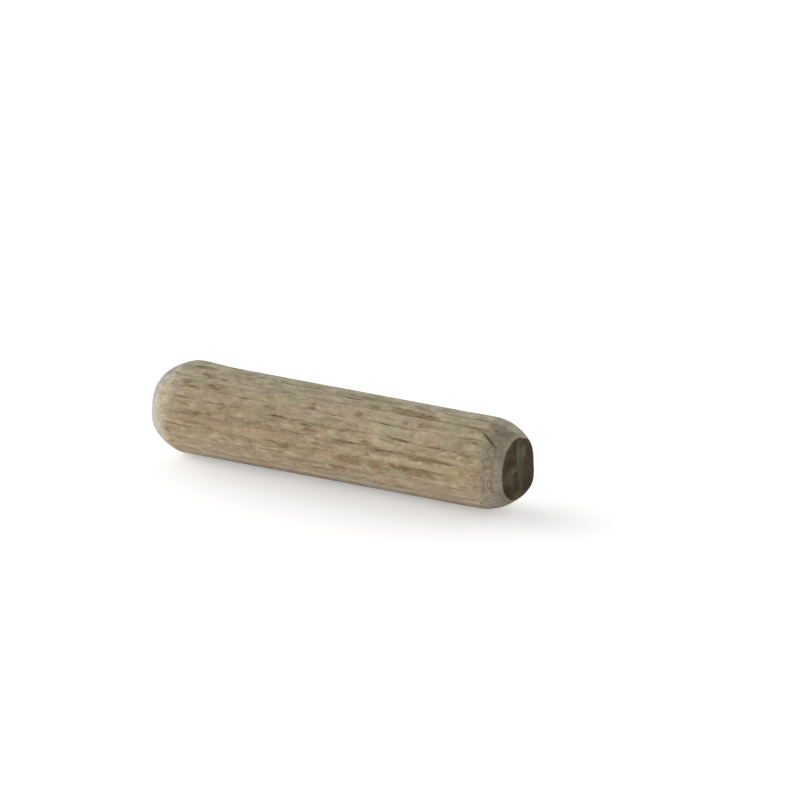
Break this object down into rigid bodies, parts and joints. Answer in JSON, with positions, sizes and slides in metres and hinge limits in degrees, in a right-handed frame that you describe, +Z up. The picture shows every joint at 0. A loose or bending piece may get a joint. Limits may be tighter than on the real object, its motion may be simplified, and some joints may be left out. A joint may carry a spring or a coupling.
{
  "type": "dowel pin",
  "caption": "Short round wooden pin with straight flutes pressed along its barrel and rounded ends with small flat faces, glued into matching holes to join two boards.",
  "frame": {"origin": "on the bench under the middle of the pin, which lies on one of the lands between its flutes", "axes": "+X along the pin's axis towards the front end face, +Z up, +Y across the pin"},
  "size_m": [0.035, 0.008, 0.008],
  "materials": {
    "beech": "plain sawn and pressed beech, unfinished, dry and matt"
  },
  "bodies": {
    "root": {"dowel_pin": "beech"}
  },
  "joints": []
}
